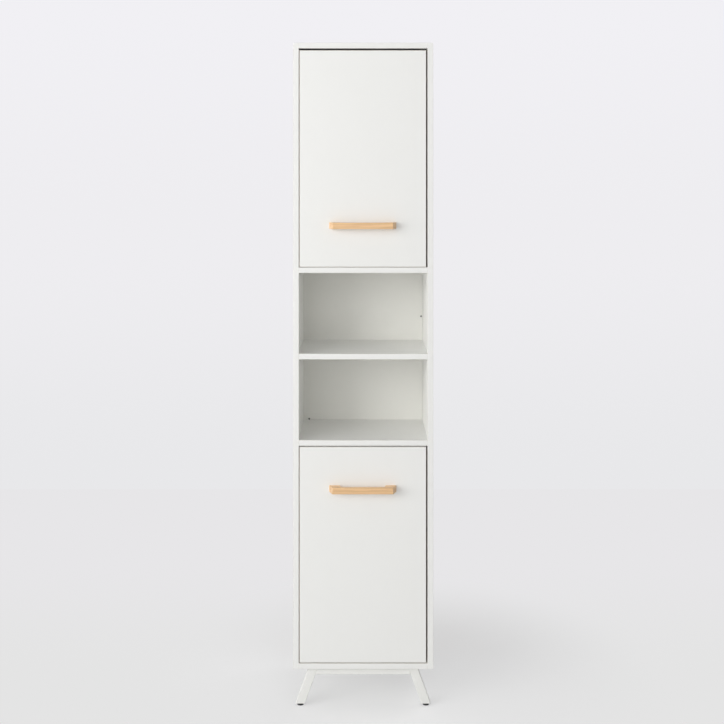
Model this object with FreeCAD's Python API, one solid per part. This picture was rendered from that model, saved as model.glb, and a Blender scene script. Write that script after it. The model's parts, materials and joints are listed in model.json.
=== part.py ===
import FreeCAD, Part
import math
import os

# Tall bathroom cabinet. Two inset doors, one above and one below two open niches, hang on the
# left side panel. A splayed steel leg frame carries the box at the front and another at the back.
#
# Millimetres, +Z up. The origin is on the floor, in the middle of the cabinet's overall box.
# The front faces -Y. Every board is named by where it sits.

# ---------------------------------------------------------------- driving dimensions: the box
cabinet_width = 400.0
cabinet_depth = 300.0
board = 16.0
upper_cupboard_height = 626.0
lower_cupboard_height = 622.0
niche_height = 231.0
board_round = 0.6

back_thickness = 3.0
back_inset = 13.0
back_groove_depth = 8.0
back_groove_end_play = 1.0
back_groove_play = 0.1
shelf_to_back_gap = 0.2

# ---------------------------------------------------------------- fittings that join the boards
dowel_radius = 4.0
dowel_in_side = 10.0
dowel_in_end = 20.0
dowel_from_edge = 72.0
cam_radius = 7.4
cam_height = 12.0
cam_from_end = 24.0
cam_from_edge = 40.0
cam_bolt_radius = 2.5
cam_bolt_head_radius = 3.5
cam_bolt_head_length = 3.0
cam_bolt_thread = 11.0
cam_bolt_hole_radius = 4.0
fitting_play = 0.05
pocket_play = 0.2

clip_head_radius = 2.5
clip_head_thickness = 1.5
clip_shank_radius = 1.4
clip_tail = 2.0
upper_clip_above_floor = 73.0
upper_clip_from_side = 4.0
lower_clip_from_side = 17.5

# ---------------------------------------------------------------- shelves that can be re-set
shelf_behind_door = 24.0
shelf_side_gap = 1.0
upper_shelf_rise = 320.0
lower_shelf_rise = 312.0
shelf_pin_radius = 2.5
shelf_pin_in_side = 9.0
shelf_pin_reach = 8.0
shelf_pin_collar_radius = 4.0
shelf_pin_collar = 0.8
shelf_pin_from_shelf_edge = 40.0
pin_hole_pitch = 32.0
pin_hole_rows = 5

# ---------------------------------------------------------------- wall fixing
bracket_spacing = 240.0
bracket_width = 20.0
bracket_leg = 25.0
bracket_thickness = 2.0
bracket_hole_drop = 15.0
wall_hole_radius = 2.75
bracket_screw_radius = 2.0
bracket_screw_length = 12.0
bracket_screw_head_radius = 4.0
bracket_screw_head = 2.2

# ---------------------------------------------------------------- doors
door_thickness = 16.0
hinge_side_gap = 1.8
free_side_gap = 4.0
upper_door_bottom_gap = 1.2
upper_door_top_gap = 5.6
lower_door_bottom_gap = 2.4
lower_door_top_gap = 3.2
door_round = 0.8

# ---------------------------------------------------------------- wooden bar handles
handle_length = 192.0
handle_height = 18.0
handle_projection = 30.0
handle_bar_depth = 12.0
handle_foot_length = 30.0
handle_foot_slope = 4.0
handle_end_slant = 10.0
handle_round = 1.2
handle_inner_radius = 4.0
handle_hole_spacing = 160.0
handle_from_niche = 118.5
handle_screw_radius = 2.0
handle_screw_in_wood = 12.0
handle_screw_hole_radius = 2.4
handle_screw_head_radius = 4.0
handle_screw_head = 2.2

# ---------------------------------------------------------------- concealed cup hinges
# Places in plan are given from the door's front corner on the hinge side: the inset runs along
# the door, the depth runs back from the door's front face.
hinge_from_door_end = 100.0
opening_angle = 105.0
turning_axis_inset = 10.0
turning_axis_depth = 5.4
arm_pin_inset = 26.0
arm_pin_depth = 17.8
cup_pin_reach = 8.0

cup_inset = 22.0
cup_radius = 17.5
cup_bore_depth = 12.0
cup_depth = 11.6
cup_wall = 0.8
cup_bore_play = 0.05
cup_flange = 1.0
cup_flange_rim = 1.0
cup_lug_width = 3.5
cup_wing_length = 56.0
cup_wing_width = 14.0
cup_screw_spacing = 45.0
cup_screw_offset = 9.5
cup_screw_radius = 1.7
cup_screw_length = 10.0
cup_screw_head_radius = 3.4
cup_screw_head = 1.6

hinge_pin_radius = 1.5
cup_pin_length = 12.0
hinge_running_play = 0.05
link_width = 8.0
link_band = 2.8
link_eye_radius = 2.5
link_bow = 5.6
link_side_play = 0.3

arm_sheet = 1.3
arm_tip_radius = 3.4
arm_rise = 8.1
arm_lift = 0.9
arm_crank_start = 40.0
arm_rear = 78.0
arm_front_bend_back = 13.6
arm_front_bend_rise = 9.5
arm_rear_bend_back = 3.4
arm_rear_bend_rise = 12.0
arm_bend_offset = 3.4
arm_fork_radius = 7.5
arm_pin_head = 0.3

plate_front = 42.0
plate_rear = 76.0
plate_thickness = 2.2
plate_wing_span = 48.0
plate_wing_width = 12.6
plate_screw_spacing = 32.0
plate_screw_depth = 58.0
plate_screw_radius = 2.5
plate_screw_length = 11.0
plate_screw_head_radius = 4.2
plate_screw_head = 1.6

arm_screw_radius = 1.7
arm_screw_head_radius = 3.1
arm_screw_head = 1.5
arm_fixing_screw_depth = 70.0
arm_adjusting_screw_depth = 50.0
arm_screw_length = 7.0

# ---------------------------------------------------------------- leg frames
leg_height = 110.0
frame_setback = 11.0
tube_depth = 20.0
rail_height = 20.0
leg_width = 25.0
tube_wall = 1.5
leg_top_from_side = 44.5
leg_foot_from_side = 6.5

tab_length = 22.0
tab_width = 18.0
tab_thickness = 3.0
frame_screw_radius = 2.5
frame_screw_grip = 12.0
frame_screw_head_radius = 4.5
frame_screw_head = 3.2

glide_radius = 9.0
glide_top_radius = 8.0
glide_thickness = 6.0
glide_clearance = 0.4
glide_stud_radius = 4.0
glide_stud_in_leg = 16.0
glide_stud_in_foot = 3.0
plug_height = 15.0
plug_play = 0.1
stud_play = 0.05

# ---------------------------------------------------------------- places that follow
inner_half = cabinet_width / 2 - board
outer_half = cabinet_width / 2
front_y = handle_projection - (cabinet_depth + handle_projection) / 2
back_y = front_y + cabinet_depth

bottom_z = leg_height
lower_cupboard_z = bottom_z + board
lower_roof_z = lower_cupboard_z + lower_cupboard_height
lower_niche_z = lower_roof_z + board
divider_z = lower_niche_z + niche_height
upper_niche_z = divider_z + board
upper_floor_z = upper_niche_z + niche_height
upper_cupboard_z = upper_floor_z + board
top_z = upper_cupboard_z + upper_cupboard_height
height = top_z + board

back_rear_y = back_y - back_inset
back_front_y = back_rear_y - back_thickness

door_left = hinge_side_gap - inner_half
door_right = inner_half - free_side_gap
door_back_y = front_y + door_thickness

leg_top_reach = outer_half - leg_top_from_side
leg_bottom_reach = outer_half - leg_foot_from_side

across_link = link_width / 2 + link_side_play
arm_half_width = across_link + arm_sheet


class Cupboard:
    """One closed compartment: where it lies, how its door hangs, and its shelf's and handle's heights."""

    def __init__(self, name, floor_z, ceiling_z, shelf_rise, door_gaps, handle_near_floor):
        self.name = name
        self.floor_z = floor_z
        self.ceiling_z = ceiling_z
        self.shelf_z = floor_z + shelf_rise
        gap_below, gap_above = door_gaps
        self.door_bottom = floor_z + gap_below
        self.door_top = ceiling_z - gap_above
        if handle_near_floor:
            self.handle_z = self.door_bottom + handle_from_niche
        else:
            self.handle_z = self.door_top - handle_from_niche

    def hinge_heights(self):
        return self.door_bottom + hinge_from_door_end, self.door_top - hinge_from_door_end


upper = Cupboard("upper", upper_cupboard_z, top_z, upper_shelf_rise,
                 (upper_door_bottom_gap, upper_door_top_gap), True)
lower = Cupboard("lower", lower_cupboard_z, lower_roof_z, lower_shelf_rise,
                 (lower_door_bottom_gap, lower_door_top_gap), False)
cupboards = (upper, lower)
level_boards = (bottom_z, lower_roof_z, divider_z, upper_floor_z, top_z)


# ---------------------------------------------------------------- small helpers
def box(x, y, z):
    """A box between the lower and upper value on each axis."""
    corner = FreeCAD.Vector(x[0], y[0], z[0])
    return Part.makeBox(x[1] - x[0], y[1] - y[0], z[1] - z[0], corner)


def rod(radius, start, end):
    """A round rod from one point to another."""
    first = FreeCAD.Vector(*start)
    run = FreeCAD.Vector(*end) - first
    return Part.makeCylinder(radius, run.Length, first, run)


def prism(points, low_z, high_z):
    """A closed outline of (x, y) points, raised from one height to another."""
    corners = [FreeCAD.Vector(x, y, low_z) for x, y in points]
    face = Part.Face(Part.makePolygon(corners + corners[:1]))
    return face.extrude(FreeCAD.Vector(0, 0, high_z - low_z))


def rounded(solid, radius):
    """The solid with all its edges rounded."""
    return solid.makeFillet(radius, solid.Edges)


def cut(solid, tools):
    """The solid with every tool taken away."""
    return solid.cut(Part.makeCompound(tools)) if tools else solid


def save(node, shapes):
    """Write one node's solids to its own file."""
    solids = [solid for shape in shapes for solid in shape.Solids]
    Part.makeCompound(solids).exportStep("parts/" + node + ".step")


def sides():
    """-1 for the left-hand side and 1 for the right-hand side."""
    return -1, 1


# ---------------------------------------------------------------- joints between the boards
def dowel_depths():
    return front_y + dowel_from_edge, back_front_y - dowel_from_edge


def cam_depths():
    return front_y + cam_from_edge, back_front_y - cam_from_edge


def dowel(side, y, z, radius, play):
    """A dowel, or its hole when it is given some play."""
    start = side * (inner_half - dowel_in_end - play)
    end = side * (inner_half + dowel_in_side + play)
    return rod(radius, (start, y, z), (end, y, z))


def make_dowels():
    return [dowel(side, y, z + board / 2, dowel_radius, 0) for z in level_boards
            for side in sides() for y in dowel_depths()]


def cam_centre(side):
    return side * (inner_half - cam_from_end)


def make_cam(side, y, z):
    """A cam lock: a disc with a channel that takes the bolt's head."""
    x = cam_centre(side)
    disc = rod(cam_radius, (x, y, z), (x, y, z + cam_height))
    reach = cam_radius + board
    channel_x = sorted((x - side * cam_bolt_head_length / 2, x + side * reach))
    half = cam_bolt_head_radius + pocket_play
    middle = z + board / 2
    channel = box(channel_x, (y - half, y + half), (middle - half, middle + half))
    return disc.cut(channel)


def make_cam_bolt(side, y, z):
    """The bolt that screws into a side panel and is pulled by the cam."""
    middle = z + board / 2
    tip = side * (inner_half + cam_bolt_thread)
    neck = cam_centre(side) + side * cam_bolt_head_length / 2
    crown = cam_centre(side) - side * cam_bolt_head_length / 2
    shank = rod(cam_bolt_radius, (neck, y, middle), (tip, y, middle))
    head = rod(cam_bolt_head_radius, (crown + side * fitting_play, y, middle), (neck, y, middle))
    return shank.fuse(head).removeSplitter()


def make_cams():
    return [make_cam(side, y, z) for z in level_boards for side in sides() for y in cam_depths()]


def make_cam_bolts():
    return [make_cam_bolt(side, y, z) for z in level_boards for side in sides() for y in cam_depths()]


def end_machining(z):
    """What is cut from a level board: dowel holes, bolt holes and cam pockets."""
    middle = z + board / 2
    tools = []
    for side in sides():
        for y in dowel_depths():
            tools.append(dowel(side, y, middle, dowel_radius + fitting_play, fitting_play))
        x = cam_centre(side)
        for y in cam_depths():
            pocket_end = (x, y, z + cam_height + pocket_play)
            tools.append(rod(cam_radius + fitting_play, (x, y, z - board), pocket_end))
            tools.append(rod(cam_bolt_hole_radius, (x, y, middle), (side * outer_half, y, middle)))
    return tools


# ---------------------------------------------------------------- the boards
def back_groove():
    """The groove in the boards that the back panel slides into."""
    half = inner_half + back_groove_depth
    low = lower_cupboard_z - back_groove_depth
    high = top_z + back_groove_depth
    return box((-half, half), (back_front_y - back_groove_play, back_rear_y + back_groove_play),
               (low, high))


def pin_rows(cupboard):
    """Heights of the shelf pin holes, centred on the row that is in use."""
    in_use = cupboard.shelf_z - shelf_pin_radius
    first = -(pin_hole_rows // 2)
    return [in_use + (first + row) * pin_hole_pitch for row in range(pin_hole_rows)]


def pin_depths():
    """The front and rear places of the shelf pins."""
    front = door_back_y + shelf_behind_door + shelf_pin_from_shelf_edge
    return front, back_front_y - shelf_pin_from_shelf_edge


def side_holes(side):
    """Every hole in one side panel."""
    tools = []
    for z in level_boards:
        middle = z + board / 2
        for y in dowel_depths():
            tools.append(dowel(side, y, middle, dowel_radius + fitting_play, fitting_play))
        for y in cam_depths():
            end = side * (inner_half + cam_bolt_thread + fitting_play)
            tools.append(rod(cam_bolt_radius + fitting_play, (0, y, middle), (end, y, middle)))
    for cupboard in cupboards:
        for z in pin_rows(cupboard):
            for y in pin_depths():
                end = side * (inner_half + shelf_pin_in_side + fitting_play)
                tools.append(rod(shelf_pin_radius + fitting_play, (0, y, z), (end, y, z)))
        if side < 0:
            tools.extend(plate_screw_holes(cupboard))
    return tools


def make_side_panel(side):
    x = sorted((side * inner_half, side * outer_half))
    panel = rounded(box(x, (front_y, back_y), (bottom_z, height)), board_round)
    return cut(panel, side_holes(side) + [back_groove()])


def make_level_board(z, rear_y):
    """A board between the two side panels, rounded along its front edge."""
    panel = box((-inner_half, inner_half), (front_y, rear_y), (z, z + board))
    front_edges = [edge for edge in panel.Edges
                   if abs(edge.CenterOfMass.y - front_y) < board_round and edge.Length > board]
    return cut(panel.makeFillet(board_round, front_edges), end_machining(z))


def make_top_panel():
    holes = [bracket_screw(x, bracket_screw_radius + fitting_play, fitting_play)
             for x in bracket_places()]
    return cut(make_level_board(top_z, back_y), holes + [back_groove()])


def make_bottom_panel():
    holes = [frame_screw_shank(side, y, frame_screw_radius + fitting_play, fitting_play)
             for side, y in tab_places()]
    return cut(make_level_board(bottom_z, back_y), holes + [back_groove()])


def make_inner_board(z):
    return make_level_board(z, back_front_y - shelf_to_back_gap)


def make_back_panel():
    half = inner_half + back_groove_depth - back_groove_end_play
    low = lower_cupboard_z - back_groove_depth + back_groove_end_play
    high = top_z + back_groove_depth - back_groove_end_play
    panel = box((-half, half), (back_front_y, back_rear_y), (low, high))
    tools = [wall_hole(x) for x in bracket_places()]
    tools.extend(clip_shank(x, z, clip_shank_radius + fitting_play) for x, z in clip_places())
    return cut(panel, tools)


def clip_places():
    """(x, z) of the two clips that hold the back panel in the niches."""
    right = (inner_half - upper_clip_from_side, upper_niche_z + upper_clip_above_floor)
    left = (lower_clip_from_side - inner_half, lower_niche_z + clip_head_radius)
    return right, left


def clip_shank(x, z, radius):
    return rod(radius, (x, back_front_y - clip_head_thickness / 2, z), (x, back_rear_y + clip_tail, z))


def make_back_clips():
    """Round-headed clips pushed through the back panel."""
    clips = []
    for x, z in clip_places():
        head = rod(clip_head_radius, (x, back_front_y - clip_head_thickness, z), (x, back_front_y, z))
        clips.append(head.fuse(clip_shank(x, z, clip_shank_radius)).removeSplitter())
    return clips


# ---------------------------------------------------------------- adjustable shelves and pins
def make_shelf(cupboard):
    half = inner_half - shelf_side_gap
    y = (door_back_y + shelf_behind_door, back_front_y - shelf_side_gap)
    return rounded(box((-half, half), y, (cupboard.shelf_z, cupboard.shelf_z + board)), board_round)


def make_shelf_pin(side, y, z):
    """A shelf pin: a shank in the side panel, a thin collar and the peg that carries the shelf."""
    inside = side * (inner_half - shelf_pin_reach)
    outside = side * (inner_half + shelf_pin_in_side)
    shank = rod(shelf_pin_radius, (inside, y, z), (outside, y, z))
    wall = side * inner_half
    collar = rod(shelf_pin_collar_radius, (wall - side * shelf_pin_collar, y, z), (wall, y, z))
    return shank.fuse(collar).removeSplitter()


def make_shelf_pins():
    return [make_shelf_pin(side, y, cupboard.shelf_z - shelf_pin_radius)
            for cupboard in cupboards for side in sides() for y in pin_depths()]


# ---------------------------------------------------------------- wall fixing
def bracket_places():
    return -bracket_spacing / 2, bracket_spacing / 2


def wall_hole(x):
    z = top_z - bracket_hole_drop
    return rod(wall_hole_radius, (x, back_front_y - bracket_leg, z), (x, back_y, z))


def bracket_screw(x, radius, play):
    """The shank of a bracket's screw, or its hole when it is given some play."""
    y = back_front_y - (bracket_leg + bracket_thickness) / 2
    foot = top_z - bracket_thickness
    return rod(radius, (x, y, foot), (x, y, foot + bracket_screw_length + play))


def make_wall_bracket(x):
    """An angle bracket under the top panel, against the back panel."""
    half = bracket_width / 2
    wide = (x - half, x + half)
    front = back_front_y - bracket_leg
    angle = box(wide, (front, back_front_y), (top_z - bracket_leg, top_z))
    inside = box(wide, (front, back_front_y - bracket_thickness),
                 (top_z - bracket_leg, top_z - bracket_thickness))
    return cut(angle.cut(inside), [wall_hole(x), bracket_screw(x, bracket_screw_radius + fitting_play, 0)])


def make_bracket_screw(x):
    y = back_front_y - (bracket_leg + bracket_thickness) / 2
    foot = top_z - bracket_thickness
    head = rod(bracket_screw_head_radius, (x, y, foot - bracket_screw_head), (x, y, foot))
    return head.fuse(bracket_screw(x, bracket_screw_radius, 0)).removeSplitter()


# ---------------------------------------------------------------- doors
def make_door(cupboard):
    door = rounded(box((door_left, door_right), (front_y, door_back_y),
                       (cupboard.door_bottom, cupboard.door_top)), door_round)
    tools = []
    for z in cupboard.hinge_heights():
        x, y = plan(cup_inset, door_thickness)
        tools.append(rod(cup_radius + cup_bore_play, (x, y - cup_bore_depth, z), (x, y, z)))
        tools.extend(cup_screw_shank(z + step, cup_screw_radius + fitting_play, fitting_play)
                     for step in cup_screw_steps())
    for x in handle_screw_places():
        tools.append(rod(handle_screw_hole_radius, (x, front_y, cupboard.handle_z),
                         (x, door_back_y, cupboard.handle_z)))
    return cut(door, tools)


def door_middle():
    return (door_left + door_right) / 2


def handle_screw_places():
    half = handle_hole_spacing / 2
    return door_middle() - half, door_middle() + half


# ---------------------------------------------------------------- handles
def handle_outline():
    """Right-hand half of the handle in plan, as (along, out from the door) points."""
    end = handle_length / 2
    foot = end - handle_foot_length
    under_bar = handle_projection - handle_bar_depth
    return [(0, handle_projection), (end - handle_end_slant, handle_projection), (end, 0), (foot, 0),
            (foot - handle_foot_slope, under_bar), (0, under_bar)]


def make_handle(cupboard):
    """A wooden bar on two feet, cut from one length of wood, with slanted ends."""
    half = handle_outline()
    whole = half + [(-along, out) for along, out in reversed(half[1:-1])]
    points = [(door_middle() + along, front_y - out) for along, out in whole]
    low = cupboard.handle_z - handle_height / 2
    bar = prism(points, low, low + handle_height)
    inner_y = front_y - (handle_projection - handle_bar_depth)
    inner = [edge for edge in bar.Edges if abs(edge.CenterOfMass.y - inner_y) < handle_round
             and edge.BoundBox.ZLength > handle_height / 2]
    bar = bar.makeFillet(handle_inner_radius, inner)
    outer = [edge for edge in bar.Edges if edge.BoundBox.YMax < inner_y - handle_round]
    bar = bar.makeFillet(handle_round, outer)
    hole_radius = handle_screw_radius + fitting_play
    return cut(bar, [handle_screw_shank(x, cupboard.handle_z, hole_radius, fitting_play)
                     for x in handle_screw_places()])


def handle_screw_shank(x, z, radius, play):
    """A handle screw's shank, or its hole in the wood when it is given some play."""
    return rod(radius, (x, door_back_y, z), (x, front_y - handle_screw_in_wood - play, z))


def make_handle_screw(x, z):
    head = rod(handle_screw_head_radius, (x, door_back_y, z), (x, door_back_y + handle_screw_head, z))
    return head.fuse(handle_screw_shank(x, z, handle_screw_radius, 0)).removeSplitter()


# ---------------------------------------------------------------- hinges
def plan(inset, depth):
    """A place given from the door's front hinge-side corner, in the cabinet's x and y."""
    return door_left + inset, front_y + depth


def cup_pin_place():
    """(inset, depth) of the cup's pin, with the door shut.

    The arm's pin is as far from it with the door shut as with the door fully open.
    """
    towards_arm = math.atan2(arm_pin_depth - turning_axis_depth, arm_pin_inset - turning_axis_inset)
    towards_cup = towards_arm + math.radians(opening_angle / 2)
    return (turning_axis_inset + cup_pin_reach * math.cos(towards_cup),
            turning_axis_depth + cup_pin_reach * math.sin(towards_cup))


def cup_screw_steps():
    return -cup_screw_spacing / 2, cup_screw_spacing / 2


def cup_screw_shank(z, radius, play):
    """A cup screw's shank, or its hole in the door when it is given some play."""
    x, y = plan(cup_inset + cup_screw_offset, door_thickness)
    return rod(radius, (x, y + cup_flange, z), (x, y - cup_screw_length - play, z))


def cup_lug(end, z):
    """A lug at one end of the cup's pin, just behind it with the door shut."""
    inset, depth = cup_pin_place()
    x, y = plan(inset, depth + hinge_pin_radius + link_side_play)
    cup_x, door_y = plan(cup_inset, door_thickness)
    near, far = across_link + link_side_play, across_link + link_side_play + cup_lug_width
    block = box((x - cup_radius, x + hinge_pin_radius), (y, door_y + cup_flange),
                sorted((z + end * near, z + end * far)))
    return block.common(rod(cup_radius, (cup_x, y, z), (cup_x, door_y + cup_flange, z)))


def make_cup(z):
    """A pressed cup let into the back of the door, with a flange, two screw wings and two lugs."""
    x, y = plan(cup_inset, door_thickness)
    bowl = rod(cup_radius, (x, y - cup_depth, z), (x, y, z))
    rim = rod(cup_radius + cup_flange_rim, (x, y, z), (x, y + cup_flange, z))
    wing_middle = x + cup_screw_offset
    wings = box((wing_middle - cup_wing_width / 2, wing_middle + cup_wing_width / 2),
                (y, y + cup_flange), (z - cup_wing_length / 2, z + cup_wing_length / 2))
    hollow = rod(cup_radius - cup_wall, (x, y - cup_depth + cup_wall, z), (x, y + cup_flange, z))
    holes = [cup_screw_shank(z + step, cup_screw_radius + fitting_play, 0)
             for step in cup_screw_steps()]
    shell = cut(bowl.fuse([rim, wings]), [hollow] + holes)
    return shell.fuse([cup_lug(end, z) for end in sides()]).removeSplitter()


def make_cup_screw(z):
    x, y = plan(cup_inset + cup_screw_offset, door_thickness + cup_flange)
    head = rod(cup_screw_head_radius, (x, y, z), (x, y + cup_screw_head, z))
    return head.fuse(cup_screw_shank(z, cup_screw_radius, 0)).removeSplitter()


def upright_pin(place, half_length, radius, z):
    x, y = plan(*place)
    return rod(radius, (x, y, z - half_length), (x, y, z + half_length))


def make_link(z):
    """A curved link between the arm's pin and the cup's pin, bowed towards the door's front."""
    arm_pin = FreeCAD.Vector(*plan(arm_pin_inset, arm_pin_depth), 0)
    cup_pin = FreeCAD.Vector(*plan(*cup_pin_place()), 0)
    chord = cup_pin - arm_pin
    bow_side = FreeCAD.Vector(-chord.y, chord.x, 0).normalize()
    crest = (arm_pin + cup_pin) / 2 + bow_side * link_bow
    half_chord = chord.Length / 2
    radius = (half_chord ** 2 + link_bow ** 2) / (2 * link_bow)
    centre = crest - bow_side * radius
    first = math.degrees(math.atan2(arm_pin.y - centre.y, arm_pin.x - centre.x))
    last = math.degrees(math.atan2(cup_pin.y - centre.y, cup_pin.x - centre.x))
    low = FreeCAD.Vector(0, 0, z - link_width / 2)
    up = FreeCAD.Vector(0, 0, 1)
    sweep = (first - last) % 360
    outer = Part.makeCylinder(radius + link_band / 2, link_width, centre + low, up, sweep)
    inner = Part.makeCylinder(radius - link_band / 2, link_width, centre + low, up)
    band = outer.cut(inner)
    band.rotate(centre + low, up, last)
    eyes = [rod(link_eye_radius, (p.x, p.y, z - link_width / 2), (p.x, p.y, z + link_width / 2))
            for p in (arm_pin, cup_pin)]
    running_radius = hinge_pin_radius + hinge_running_play
    holes = [upright_pin((arm_pin_inset, arm_pin_depth), link_width, running_radius, z),
             upright_pin(cup_pin_place(), link_width, hinge_pin_radius, z)]
    return cut(band.fuse(eyes).removeSplitter(), holes)


def arm_outline(shrink):
    """The hinge arm's outline in plan, from the side panel to its cranked tip."""
    tip = arm_tip_radius
    return [(arm_lift, arm_rear), (arm_lift, arm_crank_start),
            (arm_pin_inset - arm_front_bend_back, arm_pin_depth + arm_front_bend_rise),
            (arm_pin_inset - tip, arm_pin_depth), (arm_pin_inset + tip - shrink, arm_pin_depth),
            (arm_pin_inset - arm_rear_bend_back - shrink, arm_pin_depth + arm_rear_bend_rise - shrink),
            (arm_rise - shrink, arm_crank_start + arm_bend_offset), (arm_rise - shrink, arm_rear)]


def make_arm(z):
    """A pressed steel channel whose forked tip holds the arm's pin."""
    outside = prism([plan(*point) for point in arm_outline(0)], z - arm_half_width, z + arm_half_width)
    tip = upright_pin((arm_pin_inset, arm_pin_depth), arm_half_width, arm_tip_radius, z)
    channel = prism([plan(*point) for point in arm_outline(arm_sheet)], z - across_link, z + across_link)
    fork = upright_pin((arm_pin_inset, arm_pin_depth), across_link, arm_fork_radius, z)
    pin_hole = upright_pin((arm_pin_inset, arm_pin_depth), arm_half_width, hinge_pin_radius, z)
    body = outside.fuse(tip).removeSplitter()
    return cut(body, [channel, fork, pin_hole] + arm_screw_holes(z))


def arm_screw_depths():
    return arm_fixing_screw_depth, arm_adjusting_screw_depth


def arm_screw_shank(depth, z, radius, play):
    """An arm screw's shank, or its hole when it is given some play."""
    x, y = plan(arm_rise, depth)
    return rod(radius, (x, y, z), (x - arm_screw_length - play, y, z))


def arm_screw_holes(z):
    return [arm_screw_shank(depth, z, arm_screw_radius + fitting_play, fitting_play)
            for depth in arm_screw_depths()]


def make_arm_screw(depth, z):
    x, y = plan(arm_rise, depth)
    head = rod(arm_screw_head_radius, (x, y, z), (x + arm_screw_head, y, z))
    return head.fuse(arm_screw_shank(depth, z, arm_screw_radius, 0)).removeSplitter()


def plate_screw_shank(z, radius, play):
    """A mounting plate screw's shank, or its hole when it is given some play."""
    y = front_y + plate_screw_depth
    return rod(radius, (plate_thickness - inner_half, y, z), (-inner_half - plate_screw_length - play, y, z))


def plate_screw_heights(cupboard):
    half = plate_screw_spacing / 2
    return [z + step for z in cupboard.hinge_heights() for step in (-half, half)]


def plate_screw_holes(cupboard):
    return [plate_screw_shank(z, plate_screw_radius + fitting_play, fitting_play)
            for z in plate_screw_heights(cupboard)]


def make_plate(z):
    """A mounting plate on the side panel, with two wings and a rib inside the arm."""
    y = (front_y + plate_front, front_y + plate_rear)
    middle = front_y + plate_screw_depth
    half_rib = across_link - fitting_play
    rib_top, _ = plan(arm_rise - arm_sheet, 0)
    rib = box((-inner_half, rib_top), y, (z - half_rib, z + half_rib))
    wings = box((-inner_half, plate_thickness - inner_half),
                (middle - plate_wing_width / 2, middle + plate_wing_width / 2),
                (z - plate_wing_span / 2, z + plate_wing_span / 2))
    half = plate_screw_spacing / 2
    holes = [plate_screw_shank(z + step, plate_screw_radius + fitting_play, 0) for step in (-half, half)]
    return cut(rib.fuse(wings).removeSplitter(), holes + arm_screw_holes(z))


def make_plate_screw(z):
    y = front_y + plate_screw_depth
    face = plate_thickness - inner_half
    head = rod(plate_screw_head_radius, (face, y, z), (face + plate_screw_head, y, z))
    return head.fuse(plate_screw_shank(z, plate_screw_radius, 0)).removeSplitter()


# ---------------------------------------------------------------- leg frames
def frame_depths():
    """(name, lowest y) of the front and the rear leg frame."""
    return ("front", front_y + frame_setback), ("rear", back_y - frame_setback - tube_depth)


def leg_slope():
    """How far a leg leans outwards for each millimetre down."""
    return (leg_bottom_reach - leg_top_reach) / (leg_height - leg_foot_z())


def leg_foot_z():
    return glide_thickness + glide_clearance


def leg_cut_width():
    """The tube's width across a level cut."""
    return leg_width * math.hypot(1, leg_slope())


def leg_block(side, y, shrink, low_z, high_z):
    """A leaning block between two heights, drawn in on each side by the tube's wall."""
    corners = []
    side_shrink = shrink * math.hypot(1, leg_slope())
    for z in (low_z, high_z):
        outer = leg_top_reach + (leg_height - z) * leg_slope() - side_shrink
        inner = outer - leg_cut_width() + 2 * side_shrink
        corners.append((outer, inner, z))
    (low_out, low_in, _), (high_out, high_in, _) = corners
    points = [(low_out, low_z), (high_out, high_z), (high_in, high_z), (low_in, low_z)]
    outline = [FreeCAD.Vector(side * x, y + shrink, z) for x, z in points]
    face = Part.Face(Part.makePolygon(outline + outline[:1]))
    return face.extrude(FreeCAD.Vector(0, tube_depth - 2 * shrink, 0))


def make_leg(side, y):
    """A leaning steel tube, cut level at its foot."""
    outside = leg_block(side, y, 0, leg_foot_z(), leg_height)
    long_edges = [edge for edge in outside.Edges if edge.Length > leg_height / 2]
    outside = outside.makeFillet(tube_wall, long_edges)
    hollow = leg_block(side, y, tube_wall, 0, leg_height - rail_height)
    return outside.cut(hollow)


def make_rail(y):
    """The level tube between the tops of two legs."""
    block = box((-leg_top_reach, leg_top_reach), (y, y + tube_depth), (leg_height - rail_height, leg_height))
    long_edges = [edge for edge in block.Edges if edge.Length > leg_height]
    block = block.makeFillet(tube_wall, long_edges)
    hollow = box((-leg_top_reach, leg_top_reach), (y + tube_wall, y + tube_depth - tube_wall),
                 (leg_height - rail_height + tube_wall, leg_height - tube_wall))
    ends = []
    for side in sides():
        beyond = sorted((side * (leg_top_reach - leg_cut_width() / 2), side * leg_bottom_reach))
        ends.append(leg_block(side, y, 0, 0, leg_height))
        ends.append(box(beyond, (y, y + tube_depth), (leg_height - rail_height, leg_height)))
    return cut(block, [hollow] + ends)


def tab_places():
    """(side, lowest y) of the four screw tabs."""
    return [(side, y + (tube_depth - tab_width) / 2) for _, y in frame_depths() for side in sides()]


def tab_screw_place(side, y):
    return side * (leg_top_reach + tab_length / 2), y + tab_width / 2


def make_tab(side, y):
    """A flat tab welded to the outside of a leg's top, with one screw hole."""
    block = box(sorted((side * leg_top_reach, side * (leg_top_reach + tab_length))),
                (y, y + tab_width), (leg_height - tab_thickness, leg_height))
    leg = leg_block(side, y - (tube_depth - tab_width) / 2, 0, 0, leg_height)
    x, middle = tab_screw_place(side, y)
    hole = rod(frame_screw_radius + fitting_play, (x, middle, 0), (x, middle, leg_height))
    return cut(block, [leg, hole])


def frame_screw_shank(side, y, radius, play):
    """A frame screw's shank, or its hole when it is given some play."""
    x, middle = tab_screw_place(side, y)
    low = leg_height - tab_thickness
    return rod(radius, (x, middle, low), (x, middle, leg_height + frame_screw_grip + play))


def make_frame_screw(side, y):
    x, middle = tab_screw_place(side, y)
    high = leg_height - tab_thickness
    head = rod(frame_screw_head_radius, (x, middle, high - frame_screw_head), (x, middle, high))
    return head.fuse(frame_screw_shank(side, y, frame_screw_radius, 0)).removeSplitter()


def glide_place(side, y):
    foot = leg_bottom_reach - leg_cut_width() / 2
    return side * foot, y + tube_depth / 2


def glide_stud(side, y, radius):
    x, middle = glide_place(side, y)
    low = glide_thickness - glide_stud_in_foot
    return rod(radius, (x, middle, low), (x, middle, leg_foot_z() + glide_stud_in_leg))


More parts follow.
